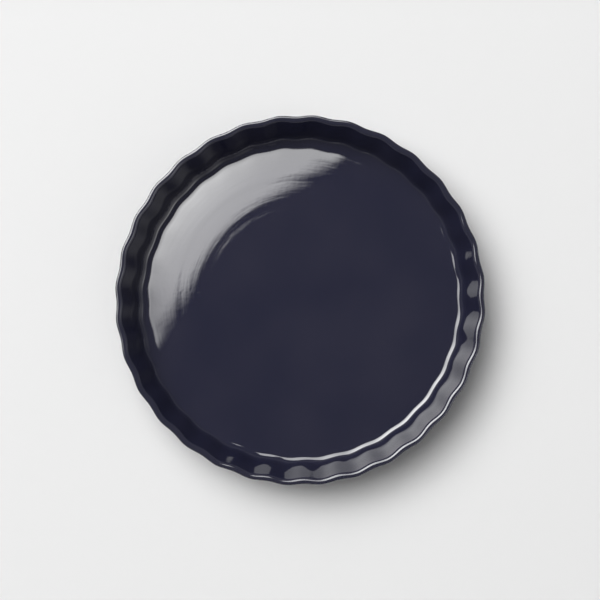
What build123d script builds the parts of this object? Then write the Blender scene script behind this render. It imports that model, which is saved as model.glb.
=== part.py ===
from build123d import *
from math import cos, pi, radians, sqrt, tan
import os

# A fluted quiche dish of glazed stoneware, 28 cm across. It stands on its foot ring at z = 0,
# and its axis is Z. A flute crest points along +X. Lengths are in millimetres.

# Driving sizes of the finished dish
rim_radius = 140.0
dish_height = 40.0
wall_thickness = 4.9
wall_draft = 14.5
floor_thickness = 5.5
cove_round = 6.6
heel_round = 6.0

# The rim is nearly a full round, so its radius is a little under half the wall
rim_round_share = 0.47
rim_round = rim_round_share * wall_thickness

# Flutes: how many there are, and how far each outline swings in and out of its mean circle
flute_count = 32
rim_outer_swing = 0.62
heel_swing = 0.45
rim_inner_swing = 0.83
floor_swing = 0.5

# Foot ring, left bare of glaze
foot_height = 2.0
foot_width = 6.0
foot_inset = 4.0

# Glaze: its thickness, and how far below the rim's top the outside coat meets the liner
glaze_thickness = 0.4
dip_depth = 4.0

# Lean of the wall: a step up of one length unit moves it out by lean
lean = tan(radians(wall_draft))
slant = 1 / cos(radians(wall_draft))

# Where the straight walls, drawn on past their rounds, would meet the levels of rim, floor and base
floor_level = foot_height + floor_thickness
outer_top = rim_radius + rim_round * (lean + slant - 1)
outer_base = outer_top - (dish_height - foot_height) * lean
inner_top = outer_top - wall_thickness * slant
inner_floor = inner_top - (dish_height - floor_level) * lean

# The flat of the base ends where the heel's round starts, and the foot ring stands inside it
base_edge = outer_base - heel_round * (slant - lean)
foot_radius = base_edge - foot_inset
foot_bore = foot_radius - foot_width


def fluted_outline(mean_radius, swing):
    """A closed wavy outline of equal arcs, each crest and each trough one arc, tangent where they meet"""
    half_pitch = pi / flute_count
    turn = cos(half_pitch)
    reach = (1 + turn) * swing
    arc = (sqrt(reach**2 + (1 - turn) * (mean_radius**2 * (1 - turn) + reach * swing)) - reach) / (1 - turn)

    def spoke(radius, halves):
        return Vector(radius, 0).rotate(Axis.Z, 180 / flute_count * halves)

    def inflection(crest, trough):
        crest_centre = spoke(mean_radius + swing - arc, crest)
        trough_centre = spoke(mean_radius - swing + arc, trough)
        return (crest_centre + trough_centre) / 2

    with BuildSketch() as outline:
        with BuildLine():
            for crest in range(0, 2 * flute_count, 2):
                trough = crest + 1
                start = inflection(crest, crest - 1)
                middle = inflection(crest, trough)
                end = inflection(crest + 2, trough)
                ThreePointArc(start, spoke(mean_radius + swing, crest), middle)
                ThreePointArc(middle, spoke(mean_radius - swing, trough), end)
        make_face()
    return outline.sketch


def edges_at(part, level):
    """The flat edges of a part that lie at one level"""
    return part.edges().filter_by(Plane.XY).filter_by_position(Axis.Z, level, level)


def dish_form(coat):
    """The whole dish without its foot ring, drawn in on every side by the thickness of a coat"""
    shrink = coat * slant
    top = dish_height - coat
    base = foot_height + coat
    floor = floor_level - coat
    with BuildPart() as form:
        # Outside, with its heel
        with BuildSketch(Plane.XY.offset(base)):
            add(fluted_outline(outer_base + coat * lean - shrink, heel_swing))
        with BuildSketch(Plane.XY.offset(top)):
            add(fluted_outline(outer_top - coat * lean - shrink, rim_outer_swing))
        loft(ruled=True)
        fillet(edges_at(form, base), heel_round - coat)
        # Inside, with the cove between wall and floor
        with BuildSketch(Plane.XY.offset(floor)):
            add(fluted_outline(inner_floor - coat * lean + shrink, floor_swing))
        with BuildSketch(Plane.XY.offset(top)):
            add(fluted_outline(inner_top - coat * lean + shrink, rim_inner_swing))
        loft(ruled=True, mode=Mode.SUBTRACT)
        fillet(edges_at(form, floor), cove_round + coat)
        # Rim
        fillet(edges_at(form, top), rim_round - coat)
    return form.part


clay = dish_form(glaze_thickness)
os.makedirs("parts", exist_ok=True)

# Fired clay body, with the bare foot ring turned under it
with BuildPart() as stoneware_body:
    add(clay)
    with BuildSketch(Plane.XY):
        Circle(foot_radius)
        Circle(foot_bore, mode=Mode.SUBTRACT)
    extrude(amount=foot_height + glaze_thickness)
stoneware_body.part.label = "stoneware_body"
export_step(stoneware_body.part, "parts/stoneware_body.step")

# All the glaze at once: what the finished dish has more than its clay
with BuildPart() as glaze:
    add(dish_form(0))
    add(clay, mode=Mode.SUBTRACT)

# A cone through the middle of the floor and wall parts the liner from the outside coat
middle_level = foot_height + floor_thickness / 2
dip_level = dish_height - dip_depth
middle_wall_top = outer_top - wall_thickness * slant / 2
with BuildPart() as liner_side:
    with BuildSketch(Plane.XY.offset(middle_level)):
        Circle(middle_wall_top - (dish_height - middle_level) * lean)
    with BuildSketch(Plane.XY.offset(dip_level)):
        Circle(middle_wall_top - dip_depth * lean)
    loft(ruled=True)

# Liner glaze: floor, cove and inner wall up to the dip line
with BuildPart() as inner_glaze:
    add(glaze.part)
    add(liner_side.part, mode=Mode.INTERSECT)
inner_glaze.part.label = "inner_glaze"
export_step(inner_glaze.part, "parts/inner_glaze.step")

# Outside glaze: over the rim, down the wall, round the heel and in to the foot ring
with BuildPart() as outer_glaze:
    add(glaze.part)
    add(liner_side.part, mode=Mode.SUBTRACT)
    with BuildSketch(Plane.XY):
        Circle(foot_radius)
    extrude(amount=middle_level, mode=Mode.SUBTRACT)
outer_glaze.part.label = "outer_glaze"
export_step(outer_glaze.part, "parts/outer_glaze.step")

# Glaze on the underside, inside the foot ring
with BuildPart() as base_glaze:
    with BuildSketch(Plane.XY.offset(foot_height)):
        Circle(foot_bore)
    extrude(amount=glaze_thickness)
base_glaze.part.label = "base_glaze"
export_step(base_glaze.part, "parts/base_glaze.step")
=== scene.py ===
import bpy
from math import cos, exp, pi, radians, sin, sqrt, tan
from mathutils import Matrix, Vector


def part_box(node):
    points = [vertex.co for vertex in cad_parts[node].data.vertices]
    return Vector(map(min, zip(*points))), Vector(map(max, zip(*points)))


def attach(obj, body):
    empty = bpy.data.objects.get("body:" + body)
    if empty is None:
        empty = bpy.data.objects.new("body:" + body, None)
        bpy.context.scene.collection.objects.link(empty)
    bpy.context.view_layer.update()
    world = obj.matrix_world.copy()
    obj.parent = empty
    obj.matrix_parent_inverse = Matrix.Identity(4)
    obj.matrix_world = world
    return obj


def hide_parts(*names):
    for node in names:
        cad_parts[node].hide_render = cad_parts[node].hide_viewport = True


# A fluted quiche dish of midnight-blue glazed stoneware, seen from straight above.
# Lengths are in metres, and angles in radians except in the lists of light levels.
# The dish stands at z = 0 and its axis is Z.

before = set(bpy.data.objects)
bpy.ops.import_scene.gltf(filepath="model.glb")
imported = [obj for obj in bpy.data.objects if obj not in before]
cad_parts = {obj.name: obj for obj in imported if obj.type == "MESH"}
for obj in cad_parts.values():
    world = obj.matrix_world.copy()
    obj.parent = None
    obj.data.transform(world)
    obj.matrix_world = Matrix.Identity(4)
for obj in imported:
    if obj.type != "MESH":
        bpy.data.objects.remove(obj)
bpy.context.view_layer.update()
mm = 0.001

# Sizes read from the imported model
outer_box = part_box("outer_glaze")
inner_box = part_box("inner_glaze")
base_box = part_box("base_glaze")
crest_radius = outer_box[1].x
dish_height = outer_box[1].z
dip_level = inner_box[1].z
foot_height = base_box[0].z
foot_bore = base_box[1].x
glaze_thickness = base_box[1].z - base_box[0].z
floor_level = inner_box[0].z + glaze_thickness

# Sizes that the boxes don't give
foot_width = 6 * mm
foot_edge_round = 0.5 * mm
wall_draft = radians(14.5)
wall_inner_draft = radians(17.1)
heel_round = 6 * mm

# Flutes. The outer wall reaches its full swing after a share of its height, outer_swing_share
flute_count = 32
rim_outer_swing = 0.62 * mm
wall_inner_swing = 0.83 * mm
floor_edge_swing = 0.4 * mm
wall_outer_swing = 0.72 * mm
outer_swing_share = 0.4

# Rim: arcs on each side of its crown, nearly flat on top and tighter towards the walls.
# Each arc here and in the cove is a radius and the slope that it ends at
rim_crown_inset = 1.35 * mm
rim_outer_arcs = [(2.0 * mm, radians(20.3)), (0.995 * mm, pi / 2 + wall_draft)]
rim_inner_arcs = [(12 * mm, radians(6.4)), (2.8 * mm, radians(27)), (2.5 * mm, pi / 2 - wall_inner_draft)]

# Floor: flat in the middle, falling slightly towards its edge, with ripples.
# The falls are tangents, and each ripple is a radius, a width and a tangent
floor_flat_radius = 78 * mm
floor_fall_radius = 116.2 * mm
floor_fall = 0.03
floor_fall_power = 0.45
floor_edge_fall = 0.012
floor_edge_fall_power = 8
floor_rise = 0.45 * mm
ripples = [(72.6 * mm, 2.2 * mm, 0.0085), (77.0 * mm, 1.8 * mm, 0.0025), (95.7 * mm, 2.4 * mm, -0.006)]
floor_flutes_radius = 104.2 * mm

# Cove between floor and wall
floor_edge = 118.78 * mm
cove_arcs = [(34.6 * mm, radians(5)), (6.75 * mm, radians(20)), (5.0 * mm, radians(42))]
cove_arcs += [(6.6 * mm, radians(66)), (5.5 * mm, pi / 2 - wall_inner_draft)]
cove_height = 8 * mm

# Fineness of the meshes. The floor is level inside fine_floor_radius, so coarse steps do there
steps_per_flute = 16
turn_steps = flute_count * steps_per_flute
arc_steps = 8
fine_floor_radius = 60 * mm
coarse_floor_step = 8 * mm
fine_floor_step = 0.5 * mm
least_floor_step = 0.01 * mm
inner_wall_steps = 10
rim_shoulder_steps = 3
outer_wall_steps = 12
heel_steps = 14
base_steps = 3

rim_radius = crest_radius - rim_outer_swing
foot_radius = foot_bore + foot_width


def smooth_step(low, high, value):
    """0 below low, 1 above high, with an easy curve between"""
    share = min(max((value - low) / (high - low), 0), 1)
    return share * share * (3 - 2 * share)


def mix(first, second, share):
    return first + (second - first) * share


def floor_slope(radius):
    """How steeply the floor falls outward at a radius, as a tangent"""
    share = min(max((radius - floor_flat_radius) / (floor_fall_radius - floor_flat_radius), 0), 1)
    slope = floor_fall * share**floor_fall_power + floor_edge_fall * share**floor_edge_fall_power
    for place, width, height in ripples:
        slope += height * exp(-(((radius - place) / width) ** 2))
    return slope * (1 - smooth_step(floor_fall_radius, floor_edge, radius))


def follow(arcs, bend):
    """Steps of run and rise along arcs that start level and bend up (1) or down (-1)"""
    steps = []
    heading = 0
    for arc_radius, last_heading in arcs:
        turn = (last_heading - heading) / arc_steps
        for number in range(arc_steps):
            middle = heading + turn * (number + 0.5)
            steps.append((arc_radius * turn * cos(middle), bend * arc_radius * turn * sin(middle)))
        heading = last_heading
    return steps


def rim_side(arcs, direction):
    """Points from the crown of the rim down its inner side (-1) or outer side (1)"""
    radius = rim_radius - rim_crown_inset
    height = dish_height
    points = [(radius, height)]
    for run, rise in follow(arcs, -1):
        radius += direction * run
        height += rise
        points.append((radius, height))
    return points


def inside_profile():
    """Stations of radius, height and swing from the middle of the floor up to the dip line"""
    radius = 0
    height = floor_level + floor_rise
    stations = [(radius, height, 0)]
    while floor_edge - radius > least_floor_step:
        step = coarse_floor_step if radius < fine_floor_radius else fine_floor_step
        step = min(step, floor_edge - radius)
        height -= floor_slope(radius + step / 2) * step
        radius += step
        swing = floor_edge_swing * smooth_step(floor_flutes_radius, floor_edge, radius)
        stations.append((radius, height, swing))
    # Cove
    floor_low = height
    for run, rise in follow(cove_arcs, 1):
        radius += run
        height += rise
        climb = smooth_step(0, cove_height, height - floor_low)
        stations.append((radius, height, mix(floor_edge_swing, wall_inner_swing, climb)))
    # Inner wall, straight from the cove towards the rim
    top_radius, top_height = rim_side(rim_inner_arcs, -1)[-1]
    for number in range(1, inner_wall_steps + 1):
        level = mix(height, dip_level, number / inner_wall_steps)
        place = mix(radius, top_radius, (level - height) / (top_height - height))
        climb = smooth_step(0, cove_height, level - floor_low)
        stations.append((place, level, mix(floor_edge_swing, wall_inner_swing, climb)))
    return stations


def outside_profile(start):
    """Stations from the dip line over the rim, down the wall and round the heel to the foot ring"""
    inner_side = rim_side(rim_inner_arcs, -1)[::-1]
    outer_side = rim_side(rim_outer_arcs, 1)
    stations = [start]
    top = inner_side[0]
    for number in range(1, rim_shoulder_steps):
        share = number / rim_shoulder_steps
        stations.append((mix(start[0], top[0], share), mix(start[1], top[1], share), wall_inner_swing))
    for radius, height in inner_side + outer_side[1:]:
        share = (radius - top[0]) / (rim_radius - top[0])
        swing = mix(wall_inner_swing, rim_outer_swing, smooth_step(0, 1, share))
        stations.append((radius, height, swing))
    # Outer wall
    wall_top = stations[-1]
    heel_height = foot_height + heel_round * (1 - sin(wall_draft))
    for number in range(1, outer_wall_steps + 1):
        share = number / outer_wall_steps
        height = mix(wall_top[1], heel_height, share)
        radius = wall_top[0] - (wall_top[1] - height) * tan(wall_draft)
        swing = mix(rim_outer_swing, wall_outer_swing, smooth_step(0, outer_swing_share, share))
        stations.append((radius, height, swing))
    # Heel, turning in to the flat of the base
    heel_centre = stations[-1][0] - heel_round * cos(wall_draft)
    for number in range(1, heel_steps + 1):
        angle = mix(-wall_draft, -pi / 2, number / heel_steps)
        radius = heel_centre + heel_round * cos(angle)
        height = foot_height + heel_round * (1 + sin(angle))
        swing = wall_outer_swing * (1 - smooth_step(0, 1, number / heel_steps))
        stations.append((radius, height, swing))
    # Flat of the base, in to the foot ring
    base_edge = stations[-1][0]
    for number in range(1, base_steps + 1):
        stations.append((mix(base_edge, foot_radius, number / base_steps), foot_height, 0))
    return stations


def inset(stations, depth):
    """The stations moved inward, square to the profile, by the thickness of a coat"""
    moved = []
    for number, (radius, height, swing) in enumerate(stations):
        before = stations[max(number - 1, 0)]
        after = stations[min(number + 1, len(stations) - 1)]
        run = after[0] - before[0]
        rise = after[1] - before[1]
        length = sqrt(run * run + rise * rise)
        moved.append((radius + rise / length * depth, height - run / length * depth, swing))
    if stations[0][0] == 0:
        moved[0] = (0, moved[0][1], 0)
    return moved


def lathe(name, stations, closed, sharp=()):
    """
    A fluted solid of revolution. Stations at radius 0 are poles, and a closed outline joins its ends.
    Sharp gives the numbers of the stations whose rings are hard edges
    """
    points = []
    rings = []
    for radius, height, swing in stations:
        if radius == 0:
            rings.append([len(points)])
            points.append((0, 0, height))
            continue
        rings.append(list(range(len(points), len(points) + turn_steps)))
        for step in range(turn_steps):
            angle = 2 * pi * step / turn_steps
            place = radius + swing * cos(flute_count * angle)
            points.append((place * cos(angle), place * sin(angle), height))
    faces = []
    pairs = list(zip(rings, rings[1:]))
    if closed:
        pairs.append((rings[-1], rings[0]))
    for first, second in pairs:
        for step in range(turn_steps):
            after = (step + 1) % turn_steps
            if len(first) == 1:
                faces.append((first[0], second[step], second[after]))
            elif len(second) == 1:
                faces.append((first[step], second[0], first[after]))
            else:
                faces.append((first[step], second[step], second[after], first[after]))
    mesh = bpy.data.meshes.new(name)
    mesh.from_pydata(points, [], faces)
    mesh.validate()
    mesh.shade_smooth()
    sharp_rings = [set(rings[number]) for number in sharp]
    for edge in mesh.edges:
        if any(edge.vertices[0] in ring and edge.vertices[1] in ring for ring in sharp_rings):
            edge.use_edge_sharp = True
    piece = bpy.data.objects.new(name, mesh)
    bpy.context.collection.objects.link(piece)
    return piece


def node(tree, kind, **settings):
    made = tree.nodes.new(kind)
    for key, value in settings.items():
        setattr(made, key, value)
    return made


def new_material(name):
    """A material and its node tree, which holds one shader and the output"""
    material = bpy.data.materials.new(name)
    material.use_nodes = True
    return material, material.node_tree


def compute(tree, operation, first, second=0):
    """Arithmetic on numbers and on outputs of other nodes"""
    made = node(tree, "ShaderNodeMath", operation=operation)
    for socket, value in zip(made.inputs, (first, second)):
        if isinstance(value, (int, float)):
            socket.default_value = value
        else:
            tree.links.new(value, socket)
    return made.outputs["Value"]


def map_range(tree, value, low, high, **settings):
    """0 where the value is at low or past it, 1 where it is at high or past it"""
    made = node(tree, "ShaderNodeMapRange", **settings)
    made.inputs["From Min"].default_value = low
    made.inputs["From Max"].default_value = high
    tree.links.new(value, made.inputs["Value"])
    return made.outputs["Result"]


def noise(tree, place, scale, detail):
    made = node(tree, "ShaderNodeTexNoise")
    made.inputs["Scale"].default_value = scale
    made.inputs["Detail"].default_value = detail
    tree.links.new(place, made.inputs["Vector"])
    return made.outputs["Fac"]


def two_colours(tree, value, low, low_colour, high, high_colour):
    """A colour that goes from one to the other as the value goes from low to high"""
    ramp = node(tree, "ShaderNodeValToRGB")
    stops = ramp.color_ramp.elements
    stops[0].position = low
    stops[0].color = (*low_colour, 1)
    stops[1].position = high
    stops[1].color = (*high_colour, 1)
    tree.links.new(value, ramp.inputs["Fac"])
    return ramp.outputs["Color"]


def bump(tree, height, depth):
    made = node(tree, "ShaderNodeBump")
    made.inputs["Distance"].default_value = depth
    tree.links.new(height, made.inputs["Height"])
    return made


# Glaze: dark and light of its mottling, and its colour on the crown of the rim. Scales are in lumps a metre
glaze_dark = (0.0134, 0.0141, 0.0322)
glaze_light = (0.0190, 0.0190, 0.0375)
glaze_on_crown = (0.0178, 0.0180, 0.0340)
crown_depth = 1.6 * mm
mottle_scale = 20
ripples_per_metre = 320
ripple_breaks_per_radian = 2.2
ripple_depth = 0.012 * mm
peel_scale = 260
peel_depth = 0.006 * mm


def glaze_material():
    """Midnight-blue gloss glaze: faint mottling, a greyer break on the rim and fine throwing ripples"""
    material, tree = new_material("midnight_glaze")
    link = tree.links.new
    shader = tree.nodes["Principled BSDF"]
    shader.inputs["IOR"].default_value = 1.85
    place = node(tree, "ShaderNodeTexCoord").outputs["Object"]
    parts = node(tree, "ShaderNodeSeparateXYZ")
    link(place, parts.inputs["Vector"])
    # Mottling of the colour, and greyer, thinner glaze on the crown of the rim
    mottle = noise(tree, place, mottle_scale, 3)
    crown = map_range(tree, parts.outputs["Z"], dish_height - crown_depth, dish_height)
    rim = node(tree, "ShaderNodeMix", data_type="RGBA")
    link(crown, rim.inputs["Factor"])
    link(two_colours(tree, mottle, 0.35, glaze_dark, 0.7, glaze_light), rim.inputs["A"])
    rim.inputs["B"].default_value = (*glaze_on_crown, 1)
    link(rim.outputs["Result"], shader.inputs["Base Color"])
    # Gloss that varies a little
    gloss = node(tree, "ShaderNodeMapRange")
    gloss.inputs["To Min"].default_value = 0.02
    gloss.inputs["To Max"].default_value = 0.05
    link(mottle, gloss.inputs["Value"])
    link(gloss.outputs["Result"], shader.inputs["Roughness"])
    # Ripples that run round the axis, and a fine orange peel
    flat = node(tree, "ShaderNodeCombineXYZ")
    link(parts.outputs["X"], flat.inputs["X"])
    link(parts.outputs["Y"], flat.inputs["Y"])
    reach = node(tree, "ShaderNodeVectorMath", operation="LENGTH")
    link(flat.outputs["Vector"], reach.inputs[0])
    turn = compute(tree, "ARCTAN2", parts.outputs["Y"], parts.outputs["X"])
    polar = node(tree, "ShaderNodeCombineXYZ")
    link(compute(tree, "MULTIPLY", reach.outputs["Value"], ripples_per_metre), polar.inputs["X"])
    link(compute(tree, "MULTIPLY", turn, ripple_breaks_per_radian), polar.inputs["Y"])
    ripple = bump(tree, noise(tree, polar.outputs["Vector"], 1, 2), ripple_depth)
    peel = bump(tree, noise(tree, place, peel_scale, 2), peel_depth)
    link(ripple.outputs["Normal"], peel.inputs["Normal"])
    link(peel.outputs["Normal"], shader.inputs["Normal"])
    return material


# Bare clay: dark and light of its grain, and its iron specks. Scales are in grains or specks a metre
clay_dark = (0.42, 0.35, 0.27)
clay_light = (0.60, 0.52, 0.42)
speck_colour = (0.16, 0.10, 0.06)
grain_scale = 900
grain_depth = 0.05 * mm
speck_scale = 350


def clay_material():
    """Bare fired stoneware: buff, matt, with fine grain and a few iron specks"""
    material, tree = new_material("bare_stoneware")
    link = tree.links.new
    shader = tree.nodes["Principled BSDF"]
    shader.inputs["Roughness"].default_value = 0.85
    place = node(tree, "ShaderNodeTexCoord").outputs["Object"]
    grain = noise(tree, place, grain_scale, 6)
    specks = node(tree, "ShaderNodeTexVoronoi")
    specks.inputs["Scale"].default_value = speck_scale
    link(place, specks.inputs["Vector"])
    blend = node(tree, "ShaderNodeMix", data_type="RGBA")
    link(map_range(tree, specks.outputs["Distance"], 0.08, 0.16), blend.inputs["Factor"])
    blend.inputs["A"].default_value = (*speck_colour, 1)
    link(two_colours(tree, grain, 0.3, clay_dark, 0.7, clay_light), blend.inputs["B"])
    link(blend.outputs["Result"], shader.inputs["Base Color"])
    link(bump(tree, grain, grain_depth).outputs["Normal"], shader.inputs["Normal"])
    return material


def dress(piece, material, replaced):
    piece.data.materials.append(material)
    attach(piece, "root")
    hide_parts(replaced)


def make_dish():
    glaze = glaze_material()
    clay = clay_material()
    inside = inside_profile()
    outside = outside_profile(inside[-1])
    inside_back = inset(inside, glaze_thickness)
    outside_back = inset(outside, glaze_thickness)
    outside_back[-1] = (foot_radius, foot_height + glaze_thickness, 0)
    # The two coats meet at the dip line on one flat cut
    cut = (inside[-1][0] + glaze_thickness / cos(wall_inner_draft), dip_level, wall_inner_swing)
    inside_back[-1] = cut
    outside_back[0] = cut

    outline = inside + inside_back[::-1]
    liner = lathe("glazed_inside", outline, False, (len(inside) - 1, len(inside)))
    dress(liner, glaze, "inner_glaze")

    outline = outside + outside_back[::-1]
    sharp = (0, len(outside) - 1, len(outside), len(outline) - 1)
    coat = lathe("glazed_outside", outline, True, sharp)
    dress(coat, glaze, "outer_glaze")

    base_top = foot_height + glaze_thickness
    outline = [(0, base_top, 0), (foot_bore / 2, base_top, 0), (foot_bore, base_top, 0)]
    outline += [(foot_bore, foot_height, 0), (foot_bore / 2, foot_height, 0), (0, foot_height, 0)]
    patch = lathe("glazed_base", outline, False, (2, 3))
    dress(patch, glaze, "base_glaze")

    # The foot ring's edges are rounded in two steps each
    ease = foot_edge_round / 3
    ring = [(foot_radius, foot_edge_round, 0), (foot_radius - ease, ease, 0)]
    ring += [(foot_radius - foot_edge_round, 0, 0), (foot_bore + foot_edge_round, 0, 0)]
    ring += [(foot_bore + ease, ease, 0), (foot_bore, foot_edge_round, 0)]
    outline = inside_back + outside_back[1:] + ring + [(foot_bore, base_top, 0), (0, base_top, 0)]
    body = lathe("clay_body", outline, False)
    dress(body, clay, "stoneware_body")


# The photograph's view: straight down, turned so that the flutes line up, and a little off the axis
view_width = 454.5 * mm
view_distance = 1.3
view_roll = radians(4.44)
view_offset = 24 * mm
view_offset_bearing = radians(-45)
sensor_width = 36.0


def bearing(angle):
    """A level direction, given as it is seen in the photograph, as a unit vector of the dish's frame"""
    return Vector((cos(angle + view_roll), sin(angle + view_roll), 0))


def make_camera():
    data = bpy.data.cameras.new("camera")
    data.sensor_width = sensor_width
    data.lens = sensor_width * view_distance / view_width
    camera = bpy.data.objects.new("camera", data)
    target = Vector((0, 0, dish_height))
    camera.location = target + Vector((0, 0, view_distance)) + bearing(view_offset_bearing) * view_offset
    # The camera looks at the middle of the rim, with the top of the picture along the rolled Y axis
    back = (camera.location - target).normalized()
    right = bearing(pi / 2).cross(back).normalized()
    up = back.cross(right)
    camera.rotation_euler = Matrix((right, up, back)).transposed().to_euler()
    bpy.context.collection.objects.link(camera)
    bpy.context.scene.camera = camera


# Soft lights. A level is an angle off the zenith in degrees, seen from the dish, and the brightness there.
# Sides are how far a light reaches to each side of its middle line
light_distance = 6.0
main_bearing = radians(135)
main_sides = (-3.22, 2.74)
main_levels = [(5.1, 2.6), (6.2, 3.8), (8.0, 4.2), (9.5, 5.1), (12, 6.5), (20, 7.6), (30, 9.1), (40, 10.3)]
main_levels += [(46, 7.4), (52, 3.6), (57, 1.2), (62, 0.5)]
main_plain_level = 3.9
main_side_loss = 0.38
fill_bearing = radians(-27)
fill_sides = (-3.6, 3.6)
fill_levels = [(10, 0.1), (17, 0.25), (19.5, 1.9), (27, 1.9), (29, 0.5), (31, 0.7), (33, 1.4), (37, 1.4)]
fill_levels += [(40, 0.5), (50, 0.4), (60, 0.6), (72, 0.5)]
fill_plain_level = 0.2
fill_side_loss = 0

# The brightness above the plain level fans out: its half width at the near side, and how fast that grows
fan_start = 0.33
fan_rate = 0.42
panel_soft_edge = 0.25

# A light's near part, by the depth from its near side, and where across it that part loses brightness
near_part_start = 0.5
near_part_end = 1.2
side_loss_start = 0.5
side_loss_end = 0.88


def glow_material(name, half_depth, near_half, sides, steps, plain, side_loss):
    """
    The glow of a soft light. Each step is a share of its depth and the brightness there on its middle line,
    and plain is its level off that line. Its near part loses a share, side_loss, of it towards one side
    """
    material, tree = new_material(name)
    tree.nodes.clear()
    link = tree.links.new
    output = node(tree, "ShaderNodeOutputMaterial")
    glow = node(tree, "ShaderNodeEmission")
    link(glow.outputs["Emission"], output.inputs["Surface"])
    # Place on the panel: down its middle line from the near side, and across
    place = node(tree, "ShaderNodeTexCoord")
    parts = node(tree, "ShaderNodeSeparateXYZ")
    link(place.outputs["Object"], parts.inputs["Vector"])
    depth = compute(tree, "ADD", parts.outputs["X"], half_depth)
    along = compute(tree, "ABSOLUTE", parts.outputs["X"])
    across = compute(tree, "ABSOLUTE", parts.outputs["Y"])
    # Brightness along the middle line
    highest = max(brightness for share, brightness in steps)
    ramp = node(tree, "ShaderNodeValToRGB")
    stops = ramp.color_ramp.elements
    for number, (share, brightness) in enumerate(steps):
        if number == 0:
            stop = stops[0]
        elif number == len(steps) - 1:
            stop = stops[-1]
        else:
            stop = stops.new(share)
        grey = brightness / highest
        stop.color = (grey, grey, grey, 1)
    link(compute(tree, "DIVIDE", depth, 2 * half_depth), ramp.inputs["Fac"])
    level = compute(tree, "MULTIPLY", ramp.outputs["Color"], highest)
    # The part above the plain level fans out from the near side
    width = compute(tree, "ADD", compute(tree, "MULTIPLY", depth, fan_rate), fan_start)
    spread = compute(tree, "DIVIDE", across, width)
    spread_squared = compute(tree, "MULTIPLY", spread, spread)
    peak = compute(tree, "EXPONENT", compute(tree, "MULTIPLY", spread_squared, -1))
    above = compute(tree, "MAXIMUM", compute(tree, "SUBTRACT", level, plain), 0)
    below = compute(tree, "MINIMUM", level, plain)
    level = compute(tree, "ADD", below, compute(tree, "MULTIPLY", above, peak))
    # Loss of brightness towards one side of the near part
    sideways = map_range(tree, parts.outputs["Y"], side_loss_start, side_loss_end)
    nearness = map_range(tree, depth, near_part_end, near_part_start)
    loss = compute(tree, "MULTIPLY", compute(tree, "MULTIPLY", sideways, nearness), side_loss)
    level = compute(tree, "MULTIPLY", level, compute(tree, "SUBTRACT", 1, loss))
    # Soft edges
    low_side, high_side = sides
    to_end = compute(tree, "SUBTRACT", half_depth, along)
    to_high_side = compute(tree, "SUBTRACT", high_side, parts.outputs["Y"])
    to_low_side = compute(tree, "SUBTRACT", parts.outputs["Y"], low_side)
    to_side = compute(tree, "MINIMUM", to_high_side, to_low_side)
    past_near_side = compute(tree, "SUBTRACT", compute(tree, "ADD", depth, near_half), across)
    to_corner = compute(tree, "MULTIPLY", past_near_side, sqrt(0.5))
    to_edge = compute(tree, "MINIMUM", compute(tree, "MINIMUM", to_end, to_side), to_corner)
    fade = map_range(tree, to_edge, 0, panel_soft_edge, interpolation_type="SMOOTHSTEP")
    link(compute(tree, "MULTIPLY", level, fade), glow.inputs["Strength"])
    return material


def soft_light(name, angle, sides, levels, plain, side_loss):
    """A soft light that faces the dish, from its first level to its last, with its near corners cut off"""
    near = radians(levels[0][0])
    far = radians(levels[-1][0])
    middle = (near + far) / 2
    half_depth = light_distance * tan((far - near) / 2)
    # The near side is as long as an octagon's side would be
    near_half = half_depth * tan(pi / 8)
    low_side, high_side = sides
    points = [(-half_depth, -near_half, 0), (-half_depth, near_half, 0)]
    points += [(high_side - near_half - half_depth, high_side, 0), (half_depth, high_side, 0)]
    points += [(half_depth, low_side, 0), (-low_side - near_half - half_depth, low_side, 0)]
    mesh = bpy.data.meshes.new(name)
    mesh.from_pydata(points, [], [tuple(range(len(points)))])
    panel = bpy.data.objects.new(name, mesh)
    away = bearing(angle) * sin(middle) + Vector((0, 0, cos(middle)))
    down = bearing(angle) * cos(middle) - Vector((0, 0, sin(middle)))
    panel.location = away * light_distance
    panel.rotation_euler = Matrix((down, away.cross(down), away)).transposed().to_euler()
    bpy.context.collection.objects.link(panel)
    steps = []
    for turn, brightness in levels:
        place = light_distance * tan(radians(turn) - middle)
        steps.append(((place + half_depth) / (2 * half_depth), brightness))
    mesh.materials.append(glow_material(name, half_depth, near_half, sides, steps, plain, side_loss))


def make_lights():
    soft_light("main_light", main_bearing, main_sides, main_levels, main_plain_level, main_side_loss)
    soft_light("fill_light", fill_bearing, fill_sides, fill_levels, fill_plain_level, fill_side_loss)


def make_floor():
    """A pale floor, far wider than the view"""
    mesh = bpy.data.meshes.new("floor")
    reach = 8
    corners = [(-reach, -reach, 0), (reach, -reach, 0), (reach, reach, 0), (-reach, reach, 0)]
    mesh.from_pydata(corners, [], [(0, 1, 2, 3)])
    floor = bpy.data.objects.new("floor", mesh)
    bpy.context.collection.objects.link(floor)
    material, tree = new_material("pale_floor")
    shader = tree.nodes["Principled BSDF"]
    shader.inputs["Base Color"].default_value = (0.72, 0.72, 0.72, 1)
    shader.inputs["Roughness"].default_value = 0.9
    shader.inputs["Specular IOR Level"].default_value = 0.1
    mesh.materials.append(material)


def make_studio():
    """Light from all round, pale at the horizon and dim overhead"""
    horizon = (0.5, 0.5, 0.5)
    overhead = (0.1, 0.1, 0.1)
    world = bpy.data.worlds.new("studio")
    world.use_nodes = True
    bpy.context.scene.world = world
    tree = world.node_tree
    place = node(tree, "ShaderNodeTexCoord")
    parts = node(tree, "ShaderNodeSeparateXYZ")
    tree.links.new(place.outputs["Generated"], parts.inputs["Vector"])
    sky = two_colours(tree, parts.outputs["Z"], 0.05, horizon, 0.35, overhead)
    tree.links.new(sky, tree.nodes["Background"].inputs["Color"])


make_camera()
make_dish()
make_lights()
make_floor()
make_studio()
bpy.context.scene.view_settings.view_transform = "Standard"
